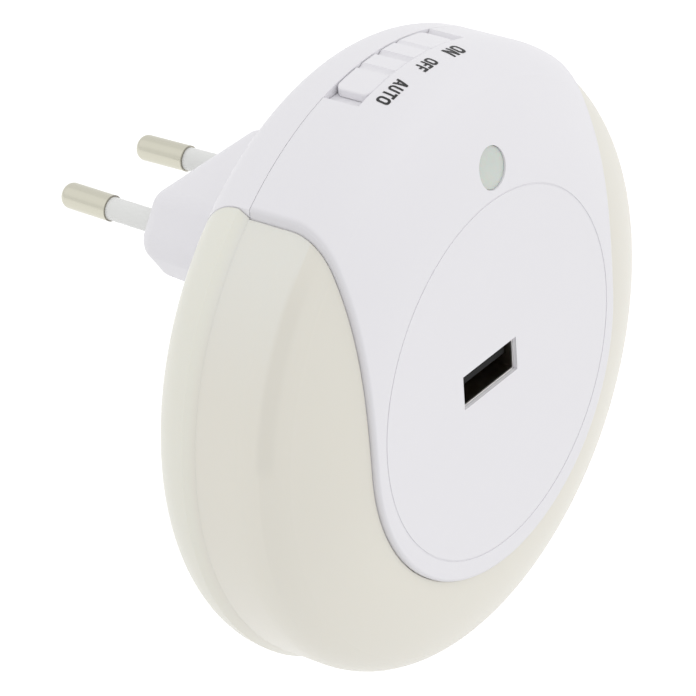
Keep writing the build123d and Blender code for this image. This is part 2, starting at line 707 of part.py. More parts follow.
CAVITY_HALF = FOOT_L / 2 + SWITCH_TRAVEL + FOOT_FIT
CAVITY_UP = SWITCH_TOP - SWITCH_SKIN - FOOT_H - 2 * FOOT_FIT
with BuildPart() as slide_switch:
    with BuildSketch(level_plane(SWITCH_TOP - SWITCH_H)):
        with Locations((SWITCH_X, SWITCH_MID)):
            Rectangle(SWITCH_L, SWITCH_D)
    extrude(amount=SWITCH_H)
    with BuildSketch(level_plane(CAVITY_UP)):
        with Locations((SWITCH_X, SWITCH_MID)):
            Rectangle(2 * CAVITY_HALF, FOOT_D + 2 * FOOT_FIT)
    extrude(amount=FOOT_H + 2 * FOOT_FIT, mode=Mode.SUBTRACT)
    with BuildSketch(level_plane(CAVITY_UP)):
        with Locations((SWITCH_X, SWITCH_MID)):
            Rectangle(
                ACTUATOR_W + 2 * (SWITCH_TRAVEL + FOOT_FIT), ACTUATOR_D + 2 * ACTUATOR_FIT
            )
    extrude(amount=SWITCH_TOP - CAVITY_UP, mode=Mode.SUBTRACT)
save(slide_switch.part, "slide_switch")

with BuildPart() as switch_actuator:
    with BuildSketch(level_plane(CAVITY_UP + FOOT_FIT)):
        with Locations((SWITCH_X, SWITCH_MID)):
            Rectangle(FOOT_L, FOOT_D)
    extrude(amount=FOOT_H)
    with BuildSketch(level_plane(CAVITY_UP + FOOT_FIT)):
        with Locations((SWITCH_X, SWITCH_MID)):
            Rectangle(ACTUATOR_W, ACTUATOR_D)
    extrude(amount=FLANGE_TOP - FLANGE_T - ACTUATOR_CLEAR - CAVITY_UP - FOOT_FIT)
save(switch_actuator.part, "switch_actuator")

# ---- main board and case screws --------------------------------------------------------------
USB_SIDE = USB_W / 2 - USB_SKIN / 2
with BuildPart() as main_board:
    with BuildSketch(disc_plane(BOARD_BACK)):
        Circle(BOARD_R)
        with Locations(POST_PLACES):
            Circle(SCREW_R + SHANK_FIT, mode=Mode.SUBTRACT)
        with Locations((PORT_X - USB_SIDE, PORT_UP), (PORT_X + USB_SIDE, PORT_UP)):
            Rectangle(USB_SKIN + 2 * LEG_FIT, LEG_W + 2 * LEG_FIT, mode=Mode.SUBTRACT)
    extrude(amount=BOARD_T)
save(main_board.part, "main_board")

SCREW_SEAT_DEPTH = BODY_DEPTH - SCREW_SEAT
with BuildPart() as case_screws:
    with BuildSketch(disc_plane(SCREW_SEAT_DEPTH)):
        with Locations(POST_PLACES):
            Circle(SCREW_HEAD_R)
    extrude(amount=-SCREW_HEAD_T)
    with BuildSketch(disc_plane(SCREW_SEAT_DEPTH)):
        with Locations(POST_PLACES):
            Circle(SCREW_R)
    extrude(amount=SCREW_L)
    with BuildSketch(disc_plane(SCREW_SEAT_DEPTH + SCREW_HEAD_T)):
        with Locations(POST_PLACES):
            Rectangle(SCREW_CROSS, SCREW_CROSS_W)
            Rectangle(SCREW_CROSS_W, SCREW_CROSS)
    extrude(amount=SCREW_CROSS_CUT, mode=Mode.SUBTRACT)
save(case_screws.part, "case_screws")

# ---- light sensor ----------------------------------------------------------------------------
with BuildPart() as sensor_window:
    with BuildSketch(disc_plane(WINDOW_SEAT)):
        with Locations((SENSOR_X, SENSOR_UP)):
            Circle(WINDOW_R)
    extrude(amount=WINDOW_SEAT)
    add(hull(WINDOW_RECESS), mode=Mode.INTERSECT)
save(sensor_window.part, "sensor_window")

with BuildPart() as light_sensor:
    with BuildSketch(disc_plane(BOARD_DEPTH)):
        with Locations((SENSOR_X, SENSOR_UP)):
            Circle(EYE_R)
    extrude(amount=EYE_L)
    fillet(light_sensor.edges().sort_by(Axis.Y)[0], EYE_DOME_R)
    with BuildSketch(disc_plane(BOARD_DEPTH)):
        with Locations((SENSOR_X, SENSOR_UP)):
            Circle(EYE_FLANGE_R)
    extrude(amount=EYE_FLANGE_T)
save(light_sensor.part, "light_sensor")

# ---- USB-A socket ----------------------------------------------------------------------------
USB_MOUTH = PORT_LIP + USB_SEAT_GAP
TONGUE_FRONT = USB_MOUTH + TONGUE_BACK
BASE_FRONT = BOARD_DEPTH - USB_BASE

with BuildPart() as usb_shell:
    with BuildSketch(disc_plane(BOARD_DEPTH)):
        with Locations((PORT_X, PORT_UP)):
            RectangleRounded(USB_W, USB_H, USB_CORNER_R)
            RectangleRounded(
                USB_W - 2 * USB_SKIN, USB_H - 2 * USB_SKIN, USB_CORNER_R - USB_SKIN,
                mode=Mode.SUBTRACT,
            )
    extrude(amount=BOARD_DEPTH - USB_MOUTH)
    with BuildSketch(disc_plane(BOARD_BACK + LEG_OUT)):
        with Locations((PORT_X - USB_SIDE, PORT_UP), (PORT_X + USB_SIDE, PORT_UP)):
            Rectangle(USB_SKIN, LEG_W)
    extrude(amount=BOARD_T + LEG_OUT)
save(usb_shell.part, "usb_shell")

with BuildPart() as usb_insulator:
    with BuildSketch(disc_plane(BOARD_DEPTH)):
        with Locations((PORT_X, PORT_UP)):
            RectangleRounded(
                USB_W - 2 * (USB_SKIN + USB_FIT), USB_H - 2 * (USB_SKIN + USB_FIT),
                USB_CORNER_R - USB_SKIN,
            )
    extrude(amount=USB_BASE)
    with BuildSketch(disc_plane(BASE_FRONT)):
        with Locations((PORT_X, PORT_UP + TONGUE_UP)):
            Rectangle(TONGUE_W, TONGUE_T)
    extrude(amount=BASE_FRONT - TONGUE_FRONT)
save(usb_insulator.part, "usb_insulator")

with BuildPart() as usb_contacts:
    with BuildSketch(disc_plane(BASE_FRONT)):
        with Locations([(PORT_X + x, PORT_UP + TONGUE_UP - (TONGUE_T + CONTACT_T) / 2)
                        for x in CONTACT_X]):
            Rectangle(CONTACT_W, CONTACT_T)
    extrude(amount=BASE_FRONT - TONGUE_FRONT - CONTACT_BACK)
save(usb_contacts.part, "usb_contacts")

# ---- light tray and LEDs ---------------------------------------------------------------------
with BuildPart() as reflector:
    with BuildSketch(disc_plane(BOARD_DEPTH)):
        Circle(TRAY_R)
    extrude(amount=TRAY_T)
    with BuildSketch(disc_plane(PARTING)):
        Circle(TRAY_R)
        Circle(TRAY_R - TRAY_WALL, mode=Mode.SUBTRACT)
    extrude(amount=PARTING - TRAY_FRONT)
    add(u_block(TRAY_HALF + TRAY_WALL, back=BOARD_DEPTH))
    add(u_block(TRAY_HALF), mode=Mode.SUBTRACT)
    add(hull(LEDGE_INSIDE + TRAY_FIT), mode=Mode.INTERSECT)
    with BuildSketch(disc_plane(BOARD_DEPTH)):
        with PolarLocations(
            LED_R, LED_COUNT, start_angle=-90 - LED_SPAN / 2, angular_range=LED_SPAN, endpoint=True
        ):
            Rectangle(LED_DEEP + 2 * LED_FIT, LED_WIDE + 2 * LED_FIT)
    extrude(amount=TRAY_T, mode=Mode.SUBTRACT)
save(reflector.part, "reflector")

with BuildPart() as leds:
    with BuildSketch(disc_plane(BOARD_DEPTH)):
        with PolarLocations(
            LED_R, LED_COUNT, start_angle=-90 - LED_SPAN / 2, angular_range=LED_SPAN, endpoint=True
        ):
            Rectangle(LED_DEEP, LED_WIDE)
    extrude(amount=LED_THICK)
save(leds.part, "leds")


# ---- supply parts on the back of the board -----------------------------------------------------
def chip(name, places, size, ahead=False):
    """Plain moulded parts, seated on the back of the board or, if ahead, on its front."""
    width, height, thick = size
    with BuildPart() as part:
        with BuildSketch(disc_plane(BOARD_DEPTH if ahead else BOARD_BACK)):
            with Locations(places):
                Rectangle(width, height)
        extrude(amount=thick if ahead else -thick)
    save(part.part, name)


def can_capacitors(name, places, radius, length):
    """Electrolytic capacitors standing on the board, with the rolled bead near the seal."""
    with BuildPart() as part:
        with BuildSketch(disc_plane(BOARD_BACK)):
            with Locations(places):
                Circle(radius)
        extrude(amount=-length)
        with BuildSketch(disc_plane(BOARD_BACK + CAP_BEAD_UP)):
            with Locations(places):
                Circle(radius)
                Circle(radius - CAP_BEAD, mode=Mode.SUBTRACT)
        extrude(amount=-CAP_BEAD_W, mode=Mode.SUBTRACT)
    save(part.part, name)


chip("bridge_rectifier", [BRIDGE_PLACE], BRIDGE_SIZE)
chip("switching_chip", [CHIP_PLACE], CHIP_SIZE)
chip("output_diode", [DIODE_PLACE], DIODE_SIZE)
chip("suppression_capacitor", [SUPPRESSOR_PLACE], SUPPRESSOR_SIZE)
chip("control_chip", [CONTROL_PLACE], CONTROL_SIZE, ahead=True)
chip("small_resistors", RESISTOR_PLACES, RESISTOR_SIZE, ahead=True)
can_capacitors("input_capacitors", CAP_PLACES, CAP_R, CAP_L)
can_capacitors("output_capacitor", [OUT_CAP_PLACE], OUT_CAP_R, OUT_CAP_L)

# transformer: two E-cores closed round a bobbin whose base stands on the board
CORE_NEAR = BOARD_BACK + BOBBIN_BASE
CORE_FAR = CORE_NEAR + CORE_H
WINDOW_NEAR = CORE_NEAR + CORE_YOKE
WINDOW_FAR = CORE_FAR - CORE_YOKE
WINDOW_W = (CORE_W - CORE_MIDDLE) / 2 - CORE_LEG
SPOOL_W = CORE_MIDDLE + 2 * (BOBBIN_FIT + BOBBIN_SKIN)
SPOOL_T = CORE_T + 2 * (BOBBIN_FIT + BOBBIN_SKIN)
SPOOL_NEAR = WINDOW_NEAR + BOBBIN_FIT
SPOOL_FAR = WINDOW_FAR - BOBBIN_FIT
FLANGE_W = CORE_W - 2 * (CORE_LEG + BOBBIN_FIT)

with BuildPart() as transformer_core:
    with BuildSketch(disc_plane(CORE_FAR)):
        with Locations(TRANSFORMER_PLACE):
            Rectangle(CORE_W, CORE_T)
    extrude(amount=CORE_H)
    with BuildSketch(disc_plane(WINDOW_FAR)):
        with Locations(TRANSFORMER_PLACE):
            with GridLocations(CORE_MIDDLE + WINDOW_W, 0, 2, 1):
                Rectangle(WINDOW_W, CORE_T)
    extrude(amount=WINDOW_FAR - WINDOW_NEAR, mode=Mode.SUBTRACT)
save(transformer_core.part, "transformer_core")

with BuildPart() as transformer_bobbin:
    with BuildSketch(disc_plane(CORE_NEAR)):
        with Locations(TRANSFORMER_PLACE):
            Rectangle(CORE_W, BOBBIN_L)
    extrude(amount=BOBBIN_BASE)
    # cheeks outside the core carry the near flange
    cheek = (BOBBIN_L - CORE_T) / 2 - BOBBIN_FIT
    with BuildSketch(disc_plane(SPOOL_NEAR + BOBBIN_SKIN)):
        with Locations(TRANSFORMER_PLACE):
            with GridLocations(0, BOBBIN_L - cheek, 1, 2):
                Rectangle(FLANGE_W, cheek)
    extrude(amount=SPOOL_NEAR + BOBBIN_SKIN - CORE_NEAR)
    for flange_back in (SPOOL_NEAR + BOBBIN_SKIN, SPOOL_FAR):
        with BuildSketch(disc_plane(flange_back)):
            with Locations(TRANSFORMER_PLACE):
                Rectangle(FLANGE_W, BOBBIN_L)
        extrude(amount=BOBBIN_SKIN)
    with BuildSketch(disc_plane(SPOOL_FAR)):
        with Locations(TRANSFORMER_PLACE):
            Rectangle(SPOOL_W, SPOOL_T)
    extrude(amount=SPOOL_FAR - SPOOL_NEAR)
    with BuildSketch(disc_plane(SPOOL_FAR)):
        with Locations(TRANSFORMER_PLACE):
            Rectangle(CORE_MIDDLE + 2 * BOBBIN_FIT, CORE_T + 2 * BOBBIN_FIT)
    extrude(amount=SPOOL_FAR - SPOOL_NEAR, mode=Mode.SUBTRACT)
save(transformer_bobbin.part, "transformer_bobbin")

with BuildPart() as transformer_winding:
    with BuildSketch(disc_plane(SPOOL_FAR - BOBBIN_SKIN)):
        with Locations(TRANSFORMER_PLACE):
            RectangleRounded(SPOOL_W + 2 * WINDING_T, SPOOL_T + 2 * WINDING_T, WINDING_T)
            Rectangle(SPOOL_W, SPOOL_T, mode=Mode.SUBTRACT)
    extrude(amount=SPOOL_FAR - SPOOL_NEAR - 2 * BOBBIN_SKIN)
save(transformer_winding.part, "transformer_winding")

with BuildPart() as choke_core:
    for radius, near, far in (
        (CHOKE_R, 0, CHOKE_FLANGE),
        (CHOKE_R - CHOKE_WAIST, CHOKE_FLANGE, CHOKE_L - CHOKE_FLANGE),
        (CHOKE_R, CHOKE_L - CHOKE_FLANGE, CHOKE_L),
    ):
        with BuildSketch(disc_plane(BOARD_BACK + far)):
            with Locations(CHOKE_PLACE):
                Circle(radius)
        extrude(amount=far - near)
save(choke_core.part, "choke_core")

with BuildPart() as choke_winding:
    with BuildSketch(disc_plane(BOARD_BACK + CHOKE_L - CHOKE_FLANGE)):
        with Locations(CHOKE_PLACE):
            Circle(CHOKE_R - CHOKE_EDGE)
            Circle(CHOKE_R - CHOKE_WAIST, mode=Mode.SUBTRACT)
    extrude(amount=CHOKE_L - 2 * CHOKE_FLANGE)
save(choke_winding.part, "choke_winding")

# fuse resistor lying along X, its wires bent down to the board
fuse_x, fuse_up = FUSE_PLACE
fuse_depth = BOARD_BACK + FUSE_R + FUSE_LIFT
with BuildPart() as fuse_resistor:
    with BuildSketch(Plane(origin=(fuse_x - FUSE_L / 2, FRONT_Y + fuse_depth, AXIS_Z + fuse_up),
                           x_dir=(0, 1, 0), z_dir=(1, 0, 0))):
        Circle(FUSE_R)
    extrude(amount=FUSE_L)
    fillet(fuse_resistor.edges().filter_by(GeomType.CIRCLE), FUSE_EDGE_R)
    for side in (-1, 1):
        with BuildLine() as wire:
            FilletPolyline(
                (fuse_x + side * (FUSE_L / 2 - FUSE_EDGE_R), FRONT_Y + fuse_depth, AXIS_Z + fuse_up),
                (fuse_x + side * (FUSE_L / 2 + FUSE_WIRE_OUT), FRONT_Y + fuse_depth,
                 AXIS_Z + fuse_up),
                (fuse_x + side * (FUSE_L / 2 + FUSE_WIRE_OUT), FRONT_Y + BOARD_BACK,
                 AXIS_Z + fuse_up),
                radius=3 * FUSE_WIRE_R,
            )
        with BuildSketch(Plane(origin=wire.line @ 0, z_dir=wire.line % 0)):
            Circle(FUSE_WIRE_R)
        sweep(path=wire.line)
save(fuse_resistor.part, "fuse_resistor")
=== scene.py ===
import math

import bmesh
import bpy
from mathutils import Matrix, Vector
from mathutils.geometry import tessellate_polygon


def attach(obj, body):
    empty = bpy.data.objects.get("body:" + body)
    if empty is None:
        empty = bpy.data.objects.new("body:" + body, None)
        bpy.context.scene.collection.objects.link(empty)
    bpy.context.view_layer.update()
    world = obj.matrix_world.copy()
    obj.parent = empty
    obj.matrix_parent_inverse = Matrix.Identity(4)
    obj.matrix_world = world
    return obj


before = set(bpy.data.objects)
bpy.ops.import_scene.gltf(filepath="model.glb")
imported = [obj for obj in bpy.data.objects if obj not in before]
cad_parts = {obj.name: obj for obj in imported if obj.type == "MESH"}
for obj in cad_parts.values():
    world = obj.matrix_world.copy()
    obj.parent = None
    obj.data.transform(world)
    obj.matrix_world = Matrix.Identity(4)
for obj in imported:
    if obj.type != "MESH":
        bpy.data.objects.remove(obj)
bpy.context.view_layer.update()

# ---- camera ----------------------------------------------------------------------------------
# A long lens looks down on the light from its front left, so that the face, the left flank,
# the switch on top and the plug behind all show.
MM = 0.001
FRAME_PX = 696
FOCAL_PX = 3711.9
SENSOR_MM = 36.0
CAMERA_PLACE = Vector((-366.36, -313.04, 251.16)) * MM
CAMERA_RIGHT = Vector((0.5877, -0.8065, -0.0646))
CAMERA_BACK = Vector((-0.6803, -0.5357, 0.5001))
NEAREST_SEEN = 0.01
FARTHEST_SEEN = 20.0
camera_data = bpy.data.cameras.new("camera")
camera_data.sensor_width = SENSOR_MM
camera_data.sensor_fit = "HORIZONTAL"
camera_data.lens = FOCAL_PX / FRAME_PX * SENSOR_MM
camera_data.clip_start = NEAREST_SEEN
camera_data.clip_end = FARTHEST_SEEN
camera = bpy.data.objects.new("camera", camera_data)
bpy.context.scene.collection.objects.link(camera)
back_axis = CAMERA_BACK.normalized()
up_axis = back_axis.cross(CAMERA_RIGHT.normalized()).normalized()
right_axis = up_axis.cross(back_axis)
turned = Matrix((right_axis, up_axis, back_axis)).transposed().to_4x4()
camera.matrix_world = Matrix.Translation(CAMERA_PLACE) @ turned
bpy.context.scene.camera = camera

# ---- room ------------------------------------------------------------------------------------
# White studio tent with a sweep well below the light. The sweep takes a soft shadow, and it
# and the tent read white to the eye and in every reflection.
FLOOR_Z = -0.3
FLOOR_SIZE = 8.0
PAPER_DULL = (0.86, 0.86, 0.86)
PAPER_CLEAN = (0.88, 0.88, 0.88)
PAPER_CLOUDS = 40.0
SWEEP_GLOW = 0.35
LIGHT_WHITE = (1.0, 1.0, 1.0)
TENT_LEVEL = 0.95
TENT_SEEN = 1.0


class Wire:
    """A socket of a finish's nodes; sums and products of it add Math nodes."""

    def __init__(self, finish, socket):
        self.finish = finish
        self.socket = socket

    def __add__(self, other):
        return self.finish.math("ADD", self, other)

    def __sub__(self, other):
        return self.finish.math("SUBTRACT", self, other)

    def __rsub__(self, other):
        return self.finish.math("SUBTRACT", other, self)

    def __mul__(self, other):
        return self.finish.math("MULTIPLY", self, other)

    def __abs__(self):
        return self.finish.math("ABSOLUTE", self)

    __radd__ = __add__
    __rmul__ = __mul__

    def step(self, low, high):
        """0 below low, 1 above high, and a smooth rise between them."""
        return self.finish.node(
            "ShaderNodeMapRange", {"interpolation_type": "SMOOTHSTEP"},
            {"Value": self, "From Min": low, "From Max": high},
        )

    def line(self, place, half_width, soft):
        """1 within half_width of a place, falling to 0 over the soft width beyond."""
        return 1 - abs(self - place).step(half_width, half_width + soft)


class Finish:
    """The nodes of one material, or of the world."""

    def __init__(self, name, world=False):
        self.block = (bpy.data.worlds if world else bpy.data.materials).new(name)
        self.block.use_nodes = True
        self.nodes = self.block.node_tree.nodes
        self.links = self.block.node_tree.links
        self.nodes.clear()
        self.output_kind = "ShaderNodeOutputWorld" if world else "ShaderNodeOutputMaterial"

    def node(self, kind, settings=None, sockets=None, output=0):
        """Adds a node: its settings first, then the value or the link of each socket."""
        made = self.nodes.new(kind)
        for key, value in (settings or {}).items():
            setattr(made, key, value)
        for key, value in (sockets or {}).items():
            socket = made.inputs[key]
            if isinstance(value, Wire):
                self.links.new(value.socket, socket)
            elif socket.type == "RGBA":
                socket.default_value = (*value, 1.0)
            else:
                socket.default_value = value
        return Wire(self, made.outputs[output]) if made.outputs else None

    def math(self, operation, first, second=0.0):
        return self.node("ShaderNodeMath", {"operation": operation}, {0: first, 1: second})

    def place(self, axis=None):
        """The place on the object in metres, whole or along one axis."""
        whole = self.node("ShaderNodeTexCoord", output="Object")
        if axis is None:
            return whole
        return self.node("ShaderNodeSeparateXYZ", None, {0: whole}, axis)

    def noise(self, scale, detail=2.0, stretch=(1.0, 1.0, 1.0)):
        """Clouds from 0 to 1; a small stretch along an axis draws them out that way."""
        spread = self.node(
            "ShaderNodeVectorMath", {"operation": "MULTIPLY"}, {0: self.place(), 1: stretch}
        )
        return self.node(
            "ShaderNodeTexNoise", None, {"Vector": spread, "Scale": scale, "Detail": detail}
        )

    def mix(self, factor, first, second):
        """One colour turning into another."""
        return self.node(
            "ShaderNodeMix", {"data_type": "RGBA"}, {0: factor, 6: first, 7: second}, 2
        )

    def bump(self, height, distance, strength):
        """The normal of a surface that a height lifts by up to a distance in metres."""
        return self.node(
            "ShaderNodeBump", None, {"Strength": strength, "Distance": distance, "Height": height}
        )

    def seen(self):
        """1 to the eye and in reflections, 0 to the light that falls on things."""
        eye, mirrored, through = (
            self.node("ShaderNodeLightPath", output=ray)
            for ray in ("Is Camera Ray", "Is Glossy Ray", "Is Transmission Ray")
        )
        return self.math("MAXIMUM", self.math("MAXIMUM", eye, mirrored), through)

    def show(self, shader):
        """Ends the nodes in this shader and hands back the material or the world."""
        self.node(self.output_kind, None, {"Surface": shader})
        return self.block

    def surface(self, sockets):
        """The Principled shader with these sockets, shown."""
        return self.show(self.node("ShaderNodeBsdfPrincipled", None, sockets))


def soft_box(name, place, size, power):
    """A square lamp that faces the light, its place in metres and its power in watts."""
    lamp = bpy.data.lights.new(name, "AREA")
    lamp.size = size
    lamp.energy = power
    holder = bpy.data.objects.new(name, lamp)
    holder.location = place
    holder.rotation_euler = (-Vector(place)).to_track_quat("-Z", "Y").to_euler()
    bpy.context.scene.collection.objects.link(holder)


sweep = Finish("white sweep")
paper = sweep.node("ShaderNodeBsdfDiffuse", None, {
    "Color": sweep.mix(sweep.noise(PAPER_CLOUDS), PAPER_DULL, PAPER_CLEAN),
})
glow = sweep.node("ShaderNodeEmission", None, {"Color": LIGHT_WHITE, "Strength": SWEEP_GLOW})
lit_paper = sweep.node("ShaderNodeAddShader", None, {0: paper, 1: glow})
sweep_white = sweep.show(
    sweep.node("ShaderNodeMixShader", None, {0: sweep.seen(), 1: paper, 2: lit_paper})
)
half_floor = FLOOR_SIZE / 2
floor_mesh = bpy.data.meshes.new("floor")
floor_mesh.from_pydata(
    [(-half_floor, -half_floor, FLOOR_Z), (half_floor, -half_floor, FLOOR_Z),
     (half_floor, half_floor, FLOOR_Z), (-half_floor, half_floor, FLOOR_Z)],
    [], [(0, 1, 2, 3)],
)
floor_mesh.materials.append(sweep_white)
floor = bpy.data.objects.new("floor", floor_mesh)
bpy.context.scene.collection.objects.link(floor)

tent = Finish("tent", world=True)
dim = tent.node("ShaderNodeBackground", None, {"Color": LIGHT_WHITE, "Strength": TENT_LEVEL})
full = tent.node("ShaderNodeBackground", None, {"Color": LIGHT_WHITE, "Strength": TENT_SEEN})
bpy.context.scene.world = tent.show(
    tent.node("ShaderNodeMixShader", None, {0: tent.seen(), 1: dim, 2: full})
)

soft_box("key", place=(0.8, -1.1, 0.8), size=1.2, power=2.2)
soft_box("back", place=(-0.6, 1.1, 1.0), size=1.2, power=0.6)

bpy.context.scene.view_settings.view_transform = "Standard"

# ---- case shells -----------------------------------------------------------------------------
# Two injection-moulded ABS shells: the U-shaped front cover, with the flat face, and the back
# plate with the plug. The mould is spark-eroded to a very fine satin grain, and three screws
# from the back hold the two together.
WHITE = (0.80, 0.79, 0.82)
FRONT_Y = -51.5 * MM
AXIS_Z = -15.6 * MM
COVER_HALF = 29.7 * MM
COVER_ROUNDING = 0.65 * MM
# painted shade on the cover's low wall by the diffuser: where it begins, how much, how dark
WALL_SHADE_EDGE = 0.1 * MM
WALL_SHADE_COVER = 0.5
WALL_SHADE_SHARE = 0.80
FLOW_SHADE = 0.985
FLOW_CLOUDS = 60.0
RUBBED_SPOTS = 420.0
RUBBED_STRETCH = (1.0, 0.4, 1.0)
RUBBED_FROM = 0.56
RUBBED_TO = 0.72
SATIN_GRAIN = 9000.0
GRAIN_HEIGHT = 0.01 * MM


def shade(colour, share):
    """A colour made darker or lighter by a share."""
    return tuple(channel * share for channel in colour)


def wear(node, material):
    """Gives a carried-over node its finish."""
    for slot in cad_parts[node].material_slots:
        slot.material = material


def moulded_white(name, colour, shaded_wall=None):
    """Satin white ABS: faint flow marks, a fine grain and a few rubbed, smoother spots; a mask adds
    painted shade.
    """
    finish = Finish(name)
    flow = finish.noise(FLOW_CLOUDS, detail=3.0)
    rubbed = finish.noise(RUBBED_SPOTS, detail=5.0, stretch=RUBBED_STRETCH)
    rubbed = rubbed.step(RUBBED_FROM, RUBBED_TO)
    tone = finish.mix(flow, shade(colour, FLOW_SHADE), colour)
    if shaded_wall:
        # painted shade, darker on the masked wall
        tone = finish.mix(shaded_wall(finish) * WALL_SHADE_COVER, tone, shade(colour, WALL_SHADE_SHARE))
    return finish.surface({
        "Base Color": tone,
        "Roughness": 0.40 + flow * 0.05 - rubbed * 0.06,
        "IOR": 1.5,
        "Subsurface Weight": 0.08,
        "Subsurface Radius": (1.0, 1.0, 1.0),
        "Subsurface Scale": 0.6 * MM,
        "Normal": finish.bump(finish.noise(SATIN_GRAIN), GRAIN_HEIGHT, strength=0.3),
    })


def joint_wall_shade(finish):
    """1 on the low wall of the cover that faces the diffuser, where shade is painted in."""
    across = finish.place("X")
    below = finish.math("MINIMUM", finish.place("Z") - AXIS_Z, 0.0)
    rounding_starts = COVER_HALF - COVER_ROUNDING
    wall_starts = COVER_HALF - WALL_SHADE_EDGE
    return (across * across + below * below).step(rounding_starts ** 2, wall_starts ** 2)


wear("front_cover", moulded_white("cover white", WHITE, shaded_wall=joint_wall_shade))
wear("rear_housing", moulded_white("case white", WHITE))

# ---- diffuser --------------------------------------------------------------------------------
# Milky cream polycarbonate, 1.8 mm thick, in a front and a rear piece that meet at the parting
# plane and are held between the two shells. The shadow of the tray's edge behind it is painted
# in as a soft darker streak, and the part ahead of the tray gets painted shade. The part behind
# the parting plane gets painted light and a slightly greener tone, and the lower side a little
# painted light.
CREAM = (0.765, 0.742, 0.668)
CREAM_TOP = (0.765, 0.765, 0.722)     # paler near the cover's upper edge
# behind the parting plane: painted light, and a slightly greener tone
CREAM_REAR = (0.785, 0.782, 0.705)
CREAM_CLOUDS = 24.0
CREAM_GRAIN = 7000.0
TRAY_EDGE_DEPTH = 8.1 * MM
TRAY_EDGE_SOFT = 0.3 * MM
PARTING_DEPTH = 18.5 * MM
PARTING_SOFT = 1.2 * MM
# painted shadow of the tray's edge: its half width and soft edge
STREAK_HALF = 0.5 * MM
STREAK_SOFT = 0.9 * MM
# angles round the rim from its top, in radians
HIGH_SIDE = (0.75, 1.35)
LOW_SIDE = (1.55, 2.3)
STREAK_BEGINS = (0.74, 0.95)
STREAK_ENDS = (1.40, 1.47)

cream = Finish("milky cream")
depth = cream.place("Y") - FRONT_Y
from_top = cream.math("ARCTAN2", abs(cream.place("X")), cream.place("Z") - AXIS_Z)
cloud = cream.noise(CREAM_CLOUDS)
# the lower side of the rim gets a little painted light
low_side = from_top.step(*LOW_SIDE)
high_side = 1 - from_top.step(*HIGH_SIDE)
# painted shadow of the tray's edge, a streak seen through the diffuser
tray_shadow = depth.line(TRAY_EDGE_DEPTH - STREAK_HALF, STREAK_HALF, STREAK_SOFT)
tray_shadow = tray_shadow * from_top.step(*STREAK_BEGINS) * (1 - from_top.step(*STREAK_ENDS))
# painted shade on the part ahead of the tray, fading out on the lower side
ahead = 1 - depth.step(TRAY_EDGE_DEPTH, TRAY_EDGE_DEPTH + TRAY_EDGE_SOFT)
ahead = ahead * (1 - low_side)
# painted light behind the parting plane
behind = depth.step(PARTING_DEPTH, PARTING_DEPTH + PARTING_SOFT)
tone = cream.mix(cloud, shade(CREAM, 0.985), shade(CREAM, 1.01))
tone = cream.mix(high_side * 0.7, tone, CREAM_TOP)
tone = cream.mix(ahead * 0.8, tone, shade(CREAM, 0.965))
tone = cream.mix(tray_shadow * 0.9, tone, shade(CREAM, 0.93))
tone = cream.mix(behind * 0.8, tone, CREAM_REAR)
tone = cream.mix(low_side * 0.6, tone, shade(CREAM, 1.01))
milky_cream = cream.surface({
    "Base Color": tone,
    "Roughness": 0.32 + cloud * 0.06,
    "IOR": 1.58,
    "Specular IOR Level": 0.3,
    "Subsurface Weight": 0.12,
    "Subsurface Radius": (1.0, 0.9, 0.75),
    "Subsurface Scale": 1.0 * MM,
    "Normal": cream.bump(cream.noise(CREAM_GRAIN), GRAIN_HEIGHT, strength=0.25),
})
wear("diffuser_front", milky_cream)
wear("diffuser_rear", milky_cream)

# ---- switch knob -----------------------------------------------------------------------------
# White ABS slide with three shallow finger grooves across it, polished a little by fingers. It
# clips over the actuator of the switch below and stands at OFF.
KNOB_SHADE = 1.01
wear("switch_knob", moulded_white("knob white", shade(WHITE, KNOB_SHADE)))

# ---- sensor window ---------------------------------------------------------------------------
# A disc of grey-green translucent acrylic over the light sensor. It is pressed into its hole in
# the face, down to a shelf.
WINDOW_DARK = (0.56, 0.60, 0.555)
WINDOW_PALE = (0.62, 0.65, 0.61)
WINDOW_CLOUDS = 500.0
window = Finish("window grey-green")
window_cloud = window.noise(WINDOW_CLOUDS)
wear("sensor_window", window.surface({
    "Base Color": window.mix(window_cloud, WINDOW_DARK, WINDOW_PALE),
    "Roughness": 0.20 + window_cloud * 0.08,
    "IOR": 1.49,
    "Subsurface Weight": 0.2,
    "Subsurface Scale": 1.0 * MM,
}))

# ---- plug pins -------------------------------------------------------------------------------
# Turned brass, nickel-plated to a warm satin and moulded into the plug. Fine turning marks run
# round each pin, and a thin dark line runs round it where the bare metal runs into the sleeve.
NICKEL_DULL = (0.575, 0.56, 0.47)
NICKEL_BRIGHT = (0.605, 0.59, 0.50)
SLEEVE_LINE_DARK = (0.22, 0.20, 0.17)
SLEEVE_LINE_HALF = 0.05 * MM
SLEEVE_LINE_SOFT = 0.12 * MM
SLEEVE_LINE_COVER = 0.6
SLEEVE_END = 10.0 * MM
TURNING_MARKS = 2500.0
TURNING_STRETCH = (0.04, 1.0, 0.04)
TURNING_HEIGHT = 0.02 * MM
nickel = Finish("satin nickel")
turning = nickel.noise(TURNING_MARKS, stretch=TURNING_STRETCH)
plating = nickel.mix(turning, NICKEL_DULL, NICKEL_BRIGHT)
sleeve_line = nickel.place("Y").line(SLEEVE_END, SLEEVE_LINE_HALF, SLEEVE_LINE_SOFT)
satin_nickel = nickel.surface({
    "Base Color": nickel.mix(sleeve_line * SLEEVE_LINE_COVER, plating, SLEEVE_LINE_DARK),
    "Metallic": 1.0,
    "Roughness": 0.20 + turning * 0.08,
    "Normal": nickel.bump(turning, TURNING_HEIGHT, strength=0.12),
})
wear("pin_left", satin_nickel)
wear("pin_right", satin_nickel)

